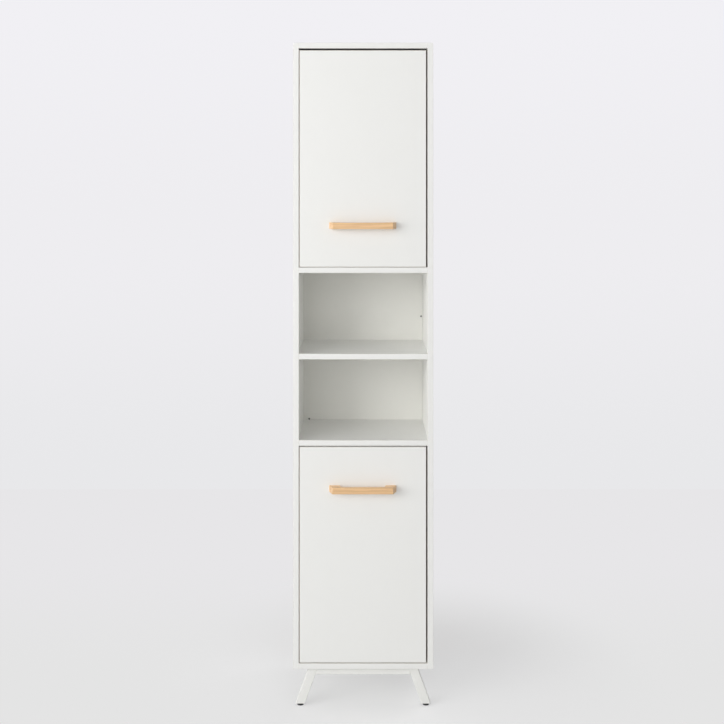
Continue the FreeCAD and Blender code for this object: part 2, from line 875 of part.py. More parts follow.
def make_plug(side, y):
    """A plastic plug in the leg's end, with the hole that the glide screws into."""
    block = leg_block(side, y, tube_wall + plug_play, leg_foot_z(), leg_foot_z() + plug_height)
    return block.cut(glide_stud(side, y, glide_stud_radius + stud_play))


def make_glide_foot(side, y):
    """The round foot of a screw-in glide, a little wider at the floor."""
    x, middle = glide_place(side, y)
    foot = Part.makeCone(glide_radius, glide_top_radius, glide_thickness, FreeCAD.Vector(x, middle, 0))
    return foot.cut(glide_stud(side, y, glide_stud_radius))


# ---------------------------------------------------------------- write every node
def write_boards():
    save("left_side_panel", [make_side_panel(-1)])
    save("right_side_panel", [make_side_panel(1)])
    save("bottom_panel", [make_bottom_panel()])
    save("lower_cupboard_roof", [make_inner_board(lower_roof_z)])
    save("niche_divider", [make_inner_board(divider_z)])
    save("upper_cupboard_floor", [make_inner_board(upper_floor_z)])
    save("top_panel", [make_top_panel()])
    save("back_panel", [make_back_panel()])
    save("back_panel_clips", make_back_clips())
    save("dowels", make_dowels())
    save("cam_locks", make_cams())
    save("cam_bolts", make_cam_bolts())
    save("wall_brackets", [make_wall_bracket(x) for x in bracket_places()])
    save("wall_bracket_screws", [make_bracket_screw(x) for x in bracket_places()])
    save("shelf_pins", make_shelf_pins())


def write_cupboard(cupboard):
    name = cupboard.name
    heights = cupboard.hinge_heights()
    screw_heights = [z + step for z in heights for step in cup_screw_steps()]
    save(name + "_shelf", [make_shelf(cupboard)])
    save(name + "_door", [make_door(cupboard)])
    save(name + "_handle", [make_handle(cupboard)])
    save(name + "_handle_screws", [make_handle_screw(x, cupboard.handle_z) for x in handle_screw_places()])
    save(name + "_hinge_cups", [make_cup(z) for z in heights])
    save(name + "_hinge_cup_screws", [make_cup_screw(z) for z in screw_heights])
    save(name + "_hinge_links", [make_link(z) for z in heights])
    save(name + "_hinge_cup_pins", [upright_pin(cup_pin_place(), cup_pin_length / 2, hinge_pin_radius, z)
                                    for z in heights])
    save(name + "_hinge_arms", [make_arm(z) for z in heights])
    save(name + "_hinge_arm_pins",
         [upright_pin((arm_pin_inset, arm_pin_depth), arm_half_width + arm_pin_head, hinge_pin_radius, z)
          for z in heights])
    save(name + "_hinge_arm_screws", [make_arm_screw(depth, z) for z in heights
                                      for depth in arm_screw_depths()])
    save(name + "_hinge_plates", [make_plate(z) for z in heights])
    save(name + "_hinge_plate_screws", [make_plate_screw(z) for z in plate_screw_heights(cupboard)])


def write_leg_frames():
    for name, y in frame_depths():
        save(name + "_rail", [make_rail(y)])
        for side, hand in ((-1, "left"), (1, "right")):
            save(f"{name}_{hand}_leg", [make_leg(side, y)])
            save(f"{name}_{hand}_glide_foot", [make_glide_foot(side, y)])
            save(f"{name}_{hand}_glide_stud", [glide_stud(side, y, glide_stud_radius)])
    save("leg_plugs", [make_plug(side, y) for _, y in frame_depths() for side in sides()])
    save("frame_tabs", [make_tab(side, y) for side, y in tab_places()])
    save("frame_screws", [make_frame_screw(side, y) for side, y in tab_places()])


os.makedirs("parts", exist_ok=True)
write_boards()
for each in cupboards:
    write_cupboard(each)
write_leg_frames()
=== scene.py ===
"""Looks of the tall bathroom cabinet: its finishes, small fittings, light and camera."""

import json
import logging
import math
from dataclasses import dataclass
from enum import Enum
from typing import ClassVar, Optional, Sequence, Union

import bpy
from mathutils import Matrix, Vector


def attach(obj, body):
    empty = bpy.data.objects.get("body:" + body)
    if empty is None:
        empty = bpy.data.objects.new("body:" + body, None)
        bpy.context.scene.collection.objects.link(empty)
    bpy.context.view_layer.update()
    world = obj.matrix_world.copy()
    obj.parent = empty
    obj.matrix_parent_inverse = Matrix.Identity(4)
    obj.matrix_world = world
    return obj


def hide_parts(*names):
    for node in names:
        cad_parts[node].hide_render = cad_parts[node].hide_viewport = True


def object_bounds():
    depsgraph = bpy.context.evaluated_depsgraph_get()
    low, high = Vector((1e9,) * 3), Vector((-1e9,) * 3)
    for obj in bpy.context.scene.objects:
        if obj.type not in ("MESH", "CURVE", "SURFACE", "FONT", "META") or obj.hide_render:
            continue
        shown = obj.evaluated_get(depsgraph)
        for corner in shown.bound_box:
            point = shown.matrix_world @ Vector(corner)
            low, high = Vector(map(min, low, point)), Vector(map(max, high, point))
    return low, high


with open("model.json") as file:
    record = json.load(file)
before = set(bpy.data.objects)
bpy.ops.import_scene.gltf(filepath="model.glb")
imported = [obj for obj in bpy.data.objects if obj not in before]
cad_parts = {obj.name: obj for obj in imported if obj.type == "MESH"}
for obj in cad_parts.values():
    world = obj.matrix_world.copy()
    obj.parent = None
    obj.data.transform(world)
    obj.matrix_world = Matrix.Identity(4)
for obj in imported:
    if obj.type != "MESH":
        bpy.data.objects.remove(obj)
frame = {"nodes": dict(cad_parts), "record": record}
cad_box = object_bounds()

LOG = logging.getLogger("cabinet")
NOISE_LOW, NOISE_HIGH = 0.3, 0.7

Rgb = tuple[float, float, float]
Point = tuple[float, float, float]
Pair = tuple[float, float]
Socket = bpy.types.NodeSocket
Tree = bpy.types.NodeTree
Value = Union[float, Rgb, Socket]


def tone(red: int, green: int, blue: int) -> Rgb:
    """A screen colour of 0 to 255 a channel as linear values.

    Args:
        red: the red channel.
        green: the green channel.
        blue: the blue channel.

    Returns:
        The colour in linear light.
    """
    knee, toe, gain, power = 0.04045, 12.92, 0.055, 2.4
    shares = [channel / 255 for channel in (red, green, blue)]
    return tuple(s / toe if s <= knee else ((s + gain) / (1 + gain)) ** power for s in shares)


def scaled(color: Rgb, factor: float) -> Rgb:
    """A colour made darker or lighter by a factor."""
    return tuple(min(1.0, channel * factor) for channel in color)


def placed(name: str, data: bpy.types.ID) -> bpy.types.Object:
    """A new object in the scene that shows some data."""
    obj = bpy.data.objects.new(name, data)
    bpy.context.scene.collection.objects.link(obj)
    return obj


# ------------------------------------------------------------------ node trees


class Effect(Enum):
    """The effects that several finishes share."""

    WEAR = "edge_wear"
    DUST = "settled_dust"
    CLOUD = "cloudy_variation"
    PEBBLE = "pebbled_skin"
    FIGURE = "wood_figure"
    BRUSH = "brushed_lines"


class Graph:
    """A shader node tree that is filled by calls."""

    def __init__(self, tree: Tree) -> None:
        """Start on the tree to add nodes to."""
        self.tree = tree

    def add(self, kind: str, inputs: Optional[dict] = None, **settings: object) -> bpy.types.Node:
        """Add a node, set its properties and fill its sockets.

        Args:
            kind: the node's type, without the ShaderNode prefix.
            inputs: socket name or number to a value or to another node's output.
            settings: properties of the node itself.

        Returns:
            The new node.
        """
        node = self.tree.nodes.new("ShaderNode" + kind)
        for name, value in settings.items():
            setattr(node, name, value)
        for socket, value in (inputs or {}).items():
            self.fill(node.inputs[socket], value)
        return node

    def fill(self, socket: Socket, value: Value) -> None:
        """Link a socket to an output, or set its constant.

        Args:
            socket: the socket to fill.
            value: an output socket, a number or a colour.
        """
        if isinstance(value, Socket):
            self.tree.links.new(value, socket)
        elif isinstance(value, tuple) and socket.type == "RGBA":
            socket.default_value = (*value, 1.0)
        else:
            socket.default_value = value

    def math(self, operation: str, *values: Value, clamp: bool = False) -> Socket:
        """A Math node's output for the given operands."""
        node = self.add("Math", dict(enumerate(values)), operation=operation, use_clamp=clamp)
        return node.outputs[0]

    def blend(self, factor: Value, low: Value, high: Value) -> Socket:
        """A colour between two, by a factor."""
        node = self.add("Mix", {0: factor, 6: low, 7: high}, data_type="RGBA")
        return node.outputs[2]

    def span(self, value: Value, low: Value, high: Value, to_low: Value = 0.0,
             to_high: Value = 1.0) -> Socket:
        """A value moved smoothly from one range to another.

        Args:
            value: the value to move.
            low: the start of its range.
            high: the end of its range.
            to_low: what the start becomes.
            to_high: what the end becomes.

        Returns:
            The moved value, held inside its new range.
        """
        node = self.add("MapRange", {"Value": value, 1: low, 2: high, 3: to_low, 4: to_high},
                        interpolation_type="SMOOTHSTEP")
        return node.outputs["Result"]

    def noise(self, vector: Value, scale: Value, detail: float = 4.0,
              roughness: float = 0.55) -> Socket:
        """A Noise Texture's value.

        Args:
            vector: where it is looked up.
            scale: how many features lie in a metre.
            detail: how many finer layers it has.
            roughness: how strong these are.

        Returns:
            The value.
        """
        node = self.add("TexNoise", {"Vector": vector, "Scale": scale, "Detail": detail,
                                     "Roughness": roughness})
        return node.outputs[0]

    def place(self, stretch: Rgb = (1.0, 1.0, 1.0)) -> Socket:
        """The surface point in the cabinet's own frame, stretched by a factor on each axis."""
        coordinates = self.add("TexCoord").outputs["Object"]
        return self.add("Mapping", {"Vector": coordinates, "Scale": stretch}).outputs[0]

    def facing(self, axis: str) -> Socket:
        """The share of the surface's normal along X, Y or Z."""
        normal = self.add("NewGeometry").outputs["Normal"]
        return self.add("SeparateXYZ", {0: normal}).outputs[axis]

    def spread(self, noise: Value, low: Value = 0.0, high: Value = 1.0) -> Socket:
        """A noise's usual values laid out between two others."""
        return self.span(noise, NOISE_LOW, NOISE_HIGH, low, high)

    def group(self, effect: Effect, **inputs: Value) -> bpy.types.Node:
        """Use a shared effect, with values for its sockets by name."""
        return self.add("Group", inputs, node_tree=EFFECTS[effect])


class SurfaceGraph(Graph):
    """A material's tree with its Principled BSDF."""

    def __init__(self, tree: Tree) -> None:
        """Add the shader to an empty tree."""
        super().__init__(tree)
        self.shader = self.add("BsdfPrincipled")
        self.add("OutputMaterial", {"Surface": self.shader.outputs[0]})

    def set(self, name: str, value: Value) -> None:
        """Fill one of the shader's sockets."""
        self.fill(self.shader.inputs[name], value)


def open_material(name: str) -> bpy.types.Material:
    """Start a material of this name, without a node."""
    made = bpy.data.materials.new(name)
    made.use_nodes = True
    made.node_tree.nodes.clear()
    return made


class EffectGraph(Graph):
    """The node group of a shared effect, whose sockets are numbers."""

    def __init__(self, effect: Effect, outputs: Sequence[str], **inputs: float) -> None:
        """Start the group.

        Args:
            effect: the effect, whose value names the group.
            outputs: output names.
            inputs: input names and their usual values.
        """
        super().__init__(bpy.data.node_groups.new(effect.value, "ShaderNodeTree"))
        for name, usual in inputs.items():
            self.socket(name, "INPUT").default_value = usual
        for name in outputs:
            self.socket(name, "OUTPUT")
        self.given = self.tree.nodes.new("NodeGroupInput").outputs
        self.leave = self.tree.nodes.new("NodeGroupOutput")

    def socket(self, name: str, way: str) -> bpy.types.NodeTreeInterfaceSocket:
        """Add a number socket to the group."""
        return self.tree.interface.new_socket(name=name, in_out=way, socket_type="NodeSocketFloat")

    def close(self, **values: Value) -> Tree:
        """Fill the outputs.

        Args:
            values: output names and what they give.

        Returns:
            The finished group.
        """
        for name, value in values.items():
            self.fill(self.leave.inputs[name], value)
        return self.tree


def edge_wear() -> Tree:
    """Where edges are rubbed: 0 on flats, up to 1 on edges.

    Returns:
        The group, with Radius and Spread inputs and a Mask output.
    """
    graph = EffectGraph(Effect.WEAR, ["Mask"], Radius=0.0006, Spread=0.5)
    bevel = graph.add("Bevel", {"Radius": graph.given["Radius"]}, samples=4).outputs[0]
    normal = graph.add("NewGeometry").outputs["Normal"]
    bent = graph.add("VectorMath", {0: bevel, 1: normal}, operation="DOT_PRODUCT").outputs["Value"]
    edge = graph.span(bent, low=0.999, high=0.88)
    breakup = graph.noise(graph.place(), scale=160.0, detail=6.0, roughness=0.65)
    onset = graph.math("SUBTRACT", 0.75, graph.given["Spread"])
    kept = graph.span(breakup, low=onset, high=0.8)
    return graph.close(Mask=graph.math("MULTIPLY", edge, kept, clamp=True))


def settled_dust() -> Tree:
    """Where dust lies: on upward faces, in drifts.

    Returns:
        The group, with an Amount input and a Mask output.
    """
    graph = EffectGraph(Effect.DUST, ["Mask"], Amount=0.2)
    upward = graph.span(graph.facing("Z"), low=0.6, high=0.95)
    drift_noise = graph.noise(graph.place(), scale=14.0, detail=8.0, roughness=0.7)
    drift = graph.span(drift_noise, low=0.35, high=0.75, to_low=0.3, to_high=1.0)
    grain_noise = graph.noise(graph.place(), scale=900.0, detail=2.0)
    grains = graph.span(grain_noise, low=0.45, high=0.7)
    lying = graph.math("MULTIPLY", drift, grains)
    amount = graph.math("MULTIPLY", upward, graph.given["Amount"])
    return graph.close(Mask=graph.math("MULTIPLY", lying, amount))


def cloudy_variation() -> Tree:
    """Broad and fine unevenness about 0.

    Returns:
        The group, with Scale and Depth inputs and a Value output.
    """
    graph = EffectGraph(Effect.CLOUD, ["Value"], Scale=5.0, Depth=0.05)
    fineness, fine_share = 23.0, 0.5
    usual_sum = (1 + fine_share) / 2
    broad = graph.noise(graph.place(), graph.given["Scale"], detail=3.0)
    fine_scale = graph.math("MULTIPLY", graph.given["Scale"], fineness)
    fine = graph.math("MULTIPLY", graph.noise(graph.place(), fine_scale, detail=5.0), fine_share)
    both = graph.math("SUBTRACT", graph.math("ADD", broad, fine), usual_sum)
    return graph.close(Value=graph.math("MULTIPLY", both, graph.given["Depth"]))


def pebbled_skin() -> Tree:
    """The small bumps of a pressed, moulded or sprayed skin.

    Returns:
        The group, with a Scale input and Height and Value outputs.
    """
    graph = EffectGraph(Effect.PEBBLE, ["Height", "Value"], Scale=1500.0)
    cell_share, wave_scale = 0.6, 0.4
    cells = graph.add("TexVoronoi", {"Vector": graph.place(), "Scale": graph.given["Scale"]},
                      feature="SMOOTH_F1").outputs["Distance"]
    waves = graph.noise(graph.place(), graph.math("MULTIPLY", graph.given["Scale"], wave_scale),
                        detail=2.0)
    height = graph.math("ADD", graph.math("MULTIPLY", cells, cell_share), waves)
    return graph.close(Height=height, Value=waves)


def wood_figure() -> Tree:
    """The growth lines, flecks and pores of beech whose length lies along X.

    Returns:
        The group, with a Seed input and Figure, Fleck and End outputs.
    """
    graph = EffectGraph(Effect.FIGURE, ["Figure", "Fleck", "End"], Seed=0.0)
    line_stretch, fleck_stretch = (1.2, 14.0, 30.0), (60.0, 420.0, 900.0)
    line_share = 0.7
    shift = graph.add("CombineXYZ", {"X": graph.given["Seed"], "Y": graph.given["Seed"]}).outputs[0]
    along = graph.add("VectorMath", {0: graph.place(line_stretch), 1: shift}).outputs[0]
    bend = graph.noise(along, scale=2.0, detail=4.0)
    lines = graph.add("TexNoise", {"Vector": along, "Scale": 7.0, "Detail": 8.0, "Roughness": 0.6,
                                   "Distortion": 0.6}).outputs[0]
    figure = graph.math("ADD", graph.math("MULTIPLY", lines, line_share),
                        graph.math("MULTIPLY", bend, 1 - line_share))
    short = graph.add("VectorMath", {0: graph.place(fleck_stretch), 1: shift}).outputs[0]
    fleck = graph.span(graph.noise(short, scale=2.2, detail=2.0), low=0.6, high=0.72)
    end = graph.span(graph.math("ABSOLUTE", graph.facing("X")), low=0.25, high=0.75)
    return graph.close(Figure=figure, Fleck=fleck, End=end)


def brushed_lines() -> Tree:
    """Fine drawn lines along Z with a cloudy plating over them.

    Returns:
        The group, with a Scale input and Value and Height outputs.
    """
    graph = EffectGraph(Effect.BRUSH, ["Value", "Height"], Scale=300.0)
    line_stretch, line_share = (1.0, 1.0, 0.04), 0.5
    lines = graph.noise(graph.place(line_stretch), graph.given["Scale"], detail=3.0)
    cloud = graph.noise(graph.place(), scale=90.0, detail=3.0)
    both = graph.math("ADD", graph.math("MULTIPLY", lines, line_share),
                      graph.math("MULTIPLY", cloud, 1 - line_share))
    return graph.close(Value=both, Height=lines)


EFFECTS = {
    Effect.WEAR: edge_wear(),
    Effect.DUST: settled_dust(),
    Effect.CLOUD: cloudy_variation(),
    Effect.PEBBLE: pebbled_skin(),
    Effect.FIGURE: wood_figure(),
    Effect.BRUSH: brushed_lines(),
}


# ------------------------------------------------------------------ finishes


class Slot(Enum):
    """The record's material slots."""

    BOARD = "white_board"
    HARDBOARD = "white_hardboard"
    BEECH = "beech"
    DOWEL = "dowel_wood"
    ZINC = "zinc_steel"
    NICKEL = "nickel_steel"
    CAST = "cast_zinc"
    POWDER = "powder_coat"
    BLACK = "black_plastic"
    GREY = "grey_plastic"


@dataclass(frozen=True)
class Finish:
    """A surface: its colour, its sheen and how it varies. Lengths are in metres."""

    name: str
    color: Rgb
    roughness: float
    duller: float = 0.1
    shinier: float = 0.1
    relief: float = 0.00004
    cloud_scale: float = 3.0
    cloud_depth: float = 0.6
    cloud_level: float = 0.1
    wear_radius: float = 0.0005
    wear_spread: float = 0.5
    wear_share: float = 0.5
    dust: Rgb = (0.42, 0.40, 0.37)
    dust_amount: float = 0.1

    def material(self) -> bpy.types.Material:
        """Build the material."""
        made = open_material(self.name)
        self.dress(SurfaceGraph(made.node_tree))
        return made

    def dress(self, graph: SurfaceGraph) -> None:
        """Join this finish's detail to the shader.

        Args:
            graph: the material's tree.
        """
        raise NotImplementedError

    def clouded(self, graph: Graph, low: Value, high: Value) -> Socket:
        """A colour that drifts between two."""
        cloud = graph.group(Effect.CLOUD, Scale=self.cloud_scale, Depth=self.cloud_depth).outputs[0]
        return graph.blend(graph.math("ADD", cloud, self.cloud_level, clamp=True), low, high)

    def worn(self, graph: Graph, base: Value, bare: Value) -> Socket:
        """A colour with another one showing on rubbed edges."""
        mask = graph.group(Effect.WEAR, Radius=self.wear_radius, Spread=self.wear_spread).outputs[0]
        return graph.blend(graph.math("MULTIPLY", mask, self.wear_share), base, bare)

    def dusty(self, graph: Graph) -> Socket:
        """The mask of the dust on this surface."""
        return graph.group(Effect.DUST, Amount=self.dust_amount).outputs[0]

    def vary_sheen(self, graph: SurfaceGraph, noise: Value) -> None:
        """Let the roughness drift about its level with a noise."""
        rough = graph.spread(noise, self.roughness - self.shinier, self.roughness + self.duller)
        graph.set("Roughness", rough)

    def bump(self, graph: SurfaceGraph, height: Value) -> None:
        """Raise the surface by a height, where 1 stands out by the relief."""
        node = graph.add("Bump", {"Height": height, "Distance": self.relief, "Strength": 1.0})
        graph.set("Normal", node.outputs[0])


@dataclass(frozen=True)
class MelamineFinish(Finish):
    """White melamine on particle board, with a slightly warmer edge band and dust on top."""

    relief: float = 0.00002
    cloud_level: float = 0.12
    wear_radius: float = 0.0007
    wear_spread: float = 0.35
    wear_share: float = 0.25
    warm: Rgb = (0.905, 0.90, 0.868)
    core: Rgb = (0.50, 0.37, 0.24)
    core_margin: float = 0.0006
    chip_light: float = 1.35
    skin_scale: float = 2200.0
    skin_sheen: float = 0.12
    dust_sheen: float = 0.8

    def inside(self, graph: Graph) -> Socket:
        """A mask that is 1 where the particle board shows, away from the six outer faces."""
        middle = 0.5
        share = graph.add("SeparateXYZ", {0: graph.add("TexCoord").outputs["Generated"]})
        mask: Value = 1.0
        for axis in "XYZ":
            off = graph.math("ABSOLUTE", graph.math("SUBTRACT", share.outputs[axis], middle))
            within = graph.math("LESS_THAN", off, middle - self.core_margin)
            mask = graph.math("MULTIPLY", mask, within)
        return mask

    def chips(self, graph: Graph) -> Socket:
        """The colour of the core's pressed chips."""
        cells = graph.add("TexVoronoi", {"Vector": graph.place(), "Scale": 700.0})
        depth = graph.span(cells.outputs["Distance"], low=0.1, high=0.7)
        return graph.blend(depth, scaled(self.core, self.chip_light), self.core)

    def dress(self, graph: SurfaceGraph) -> None:
        """Join cloudiness, worn edges, dust, the bare core in holes and the pressed skin."""
        base = self.worn(graph, self.clouded(graph, self.color, self.warm), self.warm)
        dust = self.dusty(graph)
        base = graph.blend(dust, base, self.dust)
        base = graph.blend(self.inside(graph), base, self.chips(graph))
        graph.set("Base Color", base)
        skin = graph.group(Effect.PEBBLE, Scale=self.skin_scale)
        drift = graph.math("MULTIPLY", skin.outputs["Value"], self.skin_sheen)
        rough = graph.math("ADD", drift, self.roughness - self.skin_sheen / 2)
        rough = graph.math("ADD", rough, graph.math("MULTIPLY", dust, self.dust_sheen), clamp=True)
        graph.set("Roughness", rough)
        self.bump(graph, skin.outputs["Height"])


@dataclass(frozen=True)
class HardboardFinish(Finish):
    """Hardboard lacquered white on its front face, brown and meshed on its back."""

    relief: float = 0.0003
    cloud_scale: float = 4.0
    cloud_depth: float = 0.35
    brown: Rgb = (0.44, 0.285, 0.165)
    brown_dark: float = 0.7
    white_dark: float = 0.93
    back_roughness: float = 0.85
    mesh_scale: float = 320.0
    fibre_share: float = 0.1

    def dress(self, graph: SurfaceGraph) -> None:
        """Join the white front, the brown screen-marked back and their bumps."""
        front = graph.span(graph.math("MULTIPLY", graph.facing("Y"), -1.0), low=0.2, high=0.8)
        fibres = graph.noise(graph.place((1.0, 1.0, 0.35)), scale=420.0, detail=6.0, roughness=0.7)
        brown = graph.blend(graph.spread(fibres), scaled(self.brown, self.brown_dark), self.brown)
        white = self.clouded(graph, self.color, scaled(self.color, self.white_dark))
        graph.set("Base Color", graph.blend(front, brown, white))
        graph.set("Roughness", graph.span(front, 0.0, 1.0, self.back_roughness, self.roughness))
        bands = [graph.add("TexWave", {"Vector": graph.place(), "Scale": self.mesh_scale},
                           bands_direction=way).outputs["Fac"] for way in "XZ"]
        behind = graph.math("SUBTRACT", 1.0, front)
        mesh = graph.math("MULTIPLY", graph.math("MULTIPLY", *bands), behind)
        height = graph.math("ADD", mesh, graph.math("MULTIPLY", fibres, self.fibre_share))
        self.bump(graph, height)


@dataclass(frozen=True)
class BeechFinish(Finish):
    """Clear satin lacquer over beech."""

    duller: float = 0.12
    shinier: float = 0.0
    relief: float = 0.00006
    wear_radius: float = 0.0012
    wear_spread: float = 0.4
    wear_share: float = 0.4
    worn_light: float = 1.2
    dark: Rgb = (0.72, 0.445, 0.225)
    end: Rgb = (0.42, 0.25, 0.13)
    end_share: float = 0.08
    fleck_share: float = 0.35
    pore_depth: float = 0.6
    line_depth: float = 0.3
    seed: float = 0.0
    coat: float = 0.3
    coat_roughness: float = 0.3

    def dress(self, graph: SurfaceGraph) -> None:
        """Join the growth lines, flecks, darker end grain and lacquer."""
        wood = graph.group(Effect.FIGURE, Seed=self.seed)
        figure, fleck, end = (wood.outputs[name] for name in ("Figure", "Fleck", "End"))
        shade = graph.span(figure, low=0.38, high=0.66)
        base = graph.blend(shade, self.color, self.dark)
        base = graph.blend(graph.math("MULTIPLY", fleck, self.fleck_share), base, self.dark)
        base = graph.blend(graph.math("MULTIPLY", end, self.end_share), base, self.end)
        base = self.worn(graph, base, scaled(self.color, self.worn_light))
        graph.set("Base Color", base)
        self.vary_sheen(graph, figure)
        graph.set("Coat Weight", self.coat)
        graph.set("Coat Roughness", self.coat_roughness)
        pores = graph.math("SUBTRACT", 1.0, graph.math("MULTIPLY", fleck, self.pore_depth))
        lines = graph.math("MULTIPLY", shade, self.line_depth)
        self.bump(graph, graph.math("ADD", pores, lines))


@dataclass(frozen=True)
class PlatedFinish(Finish):
    """Plated or cast metal with drawn lines, a cloudy plating and rubbed edges."""

    shinier: float = 0.08
    relief: float = 0.00001
    wear_radius: float = 0.0003
    wear_share: float = 0.6
    rubbed: Rgb = (0.80, 0.80, 0.80)
    line_scale: float = 900.0
    line_dark: float = 0.82

    def dress(self, graph: SurfaceGraph) -> None:
        """Join the lines, the cloudy plating and the rubbed edges."""
        graph.set("Metallic", 1.0)
        brush = graph.group(Effect.BRUSH, Scale=self.line_scale)
        lines = graph.spread(brush.outputs["Value"])
        base = graph.blend(lines, scaled(self.color, self.line_dark), self.color)
        graph.set("Base Color", self.worn(graph, base, self.rubbed))
        self.vary_sheen(graph, brush.outputs["Value"])
        self.bump(graph, brush.outputs["Height"])


@dataclass(frozen=True)
class PowderFinish(Finish):
    """Satin powder coat on steel tube, with its orange peel and chipped edges."""

    duller: float = 0.08
    shinier: float = 0.05
    cloud_scale: float = 9.0
    cloud_depth: float = 0.4
    cloud_dark: float = 0.92
    wear_radius: float = 0.0008
    wear_spread: float = 0.18
    chip: Rgb = (0.45, 0.44, 0.42)
    peel_scale: float = 700.0

    def dress(self, graph: SurfaceGraph) -> None:
        """Join the orange peel, slight cloudiness and small chips."""
        base = self.clouded(graph, self.color, scaled(self.color, self.cloud_dark))
        graph.set("Base Color", self.worn(graph, base, self.chip))
        peel = graph.group(Effect.PEBBLE, Scale=self.peel_scale)
        self.vary_sheen(graph, peel.outputs["Value"])
        self.bump(graph, peel.outputs["Height"])


@dataclass(frozen=True)
class MouldedFinish(Finish):
    """Moulded plastic with a fine grain."""

    dust: Rgb = (0.35, 0.33, 0.30)
    dust_amount: float = 0.15
    grain_scale: float = 1800.0
    scuff_share: float = 0.9
    scuff_lift: float = 0.04

    def dress(self, graph: SurfaceGraph) -> None:
        """Join the grain, scuffed edges and dust."""
        scuffed = tuple(c * self.scuff_share + self.scuff_lift for c in self.color)
        base = self.worn(graph, self.color, scuffed)
        graph.set("Base Color", graph.blend(self.dusty(graph), base, self.dust))
        skin = graph.group(Effect.PEBBLE, Scale=self.grain_scale)
        self.vary_sheen(graph, skin.outputs["Value"])
        self.bump(graph, skin.outputs["Height"])


FINISHES: dict[Slot, Finish] = {
    Slot.BOARD: MelamineFinish("white_melamine", (0.93, 0.93, 0.905), 0.37),
    Slot.HARDBOARD: HardboardFinish("white_hardboard", (0.91, 0.905, 0.855), 0.5),
    Slot.BEECH: BeechFinish("lacquered_beech", (0.92, 0.60, 0.315), 0.4),
    Slot.DOWEL: BeechFinish("raw_beech", (0.68, 0.50, 0.31), 0.75, coat=0.0),
    Slot.ZINC: PlatedFinish("bright_zinc", (0.62, 0.64, 0.67), 0.3),
    Slot.NICKEL: PlatedFinish("nickel_plate", (0.70, 0.68, 0.64), 0.24),
    Slot.CAST: PlatedFinish("cast_zinc", (0.52, 0.53, 0.55), 0.45, line_scale=200.0,
                            relief=0.00003),
    Slot.POWDER: PowderFinish("white_powder_coat", (0.92, 0.92, 0.885), 0.38),
    Slot.BLACK: MouldedFinish("black_plastic", (0.014, 0.014, 0.015), 0.5),
    Slot.GREY: MouldedFinish("grey_plastic", (0.045, 0.045, 0.043), 0.45),
}
MATERIALS = {slot: finish.material() for slot, finish in FINISHES.items()}
NODE_SLOTS = {row["node"]: Slot(row["material_slot"]) for row in frame["record"]["subparts"]}


def dress_nodes(nodes: Sequence[str]) -> None:
    """Give CAD nodes the materials of their slots."""
    for name in nodes:
        obj = frame["nodes"][name]
        slot = NODE_SLOTS[name]
        obj.data.materials.clear()
        obj.data.materials.append(MATERIALS[slot])


# ------------------------------------------------------------------ turned and cut shapes

SPOKES = 48


@dataclass(frozen=True)
class Box:
    """The smallest and largest corner of one solid."""

    low: Vector
    high: Vector

    @property
    def centre(self) -> Vector:
        """The middle of the box."""
        return (self.low + self.high) / 2

    @property
    def size(self) -> Vector:
        """The extent on each axis."""
        return self.high - self.low


def solids_of(node: str) -> list[Box]:
    """The box of each separate solid in a CAD node.

    Args:
        node: the node's name.

    Returns:
        One box a solid, in the order of their first vertices.
    """
    mesh = frame["nodes"][node].data
    keys = [tuple(round(c * 1e6) for c in vertex.co) for vertex in mesh.vertices]
    leader: dict = {key: key for key in keys}

    def find(key: tuple) -> tuple:
        """The key that stands for a vertex's solid."""
        while leader[key] != key:
            leader[key] = leader[leader[key]]
            key = leader[key]
        return key

    for edge in mesh.edges:
        first, second = (find(keys[index]) for index in edge.vertices)
        leader[first] = second
    members: dict = {}
    for key, vertex in zip(keys, mesh.vertices):
        members.setdefault(find(key), []).append(vertex.co)
    return [Box(Vector(map(min, zip(*points))), Vector(map(max, zip(*points))))
            for points in members.values()]


class Axis(Enum):
    """Which way a turned piece points."""

    LEFT = (-1.0, 0.0, 0.0)
    RIGHT = (1.0, 0.0, 0.0)
    FRONT = (0.0, -1.0, 0.0)
    BACK = (0.0, 1.0, 0.0)
    UP = (0.0, 0.0, 1.0)
    DOWN = (0.0, 0.0, -1.0)

    @property
    def vector(self) -> Vector:
        """The direction."""
        return Vector(self.value)

    def ends(self, box: Box) -> tuple[Vector, float, float]:
        """Where a box ends along this direction.

        Args:
            box: the solid's box.

        Returns:
            The centre of its far face, its length along the axis and its widest radius.
        """
        index = max(range(3), key=lambda i: abs(self.value[i]))
        tip = box.centre + self.vector * box.size[index] / 2
        across = max(box.size[i] for i in range(3) if i != index)
        return tip, box.size[index], across / 2


@dataclass(frozen=True)
class Ring:
    """One closed loop of a turned shape, at a height, with a radius for each spoke."""

    height: float
    radii: tuple[float, ...]


def profile(*loops: Pair) -> list[Ring]:
    """Circular loops, each from its height and its radius."""
    return [Ring(height, (radius,) * SPOKES) for height, radius in loops]


def cross_ring(height: float, reach: float, share: float = 0.268) -> Ring:
    """A loop in the shape of a cross.

    Args:
        height: where it lies.
        reach: from the middle to an arm's end.
        share: half an arm's width as a share of its reach.

    Returns:
        The loop.
    """
    slack = 1e-3
    radii = []
    for spoke in range(SPOKES):
        turn = math.radians(360 * spoke / SPOKES)
        off = abs((turn + math.pi / 4) % (math.pi / 2) - math.pi / 4)
        on_end = math.tan(off) <= share + slack
        radii.append(reach / math.cos(off) if on_end else reach * share / math.sin(off))
    return Ring(height, tuple(radii))


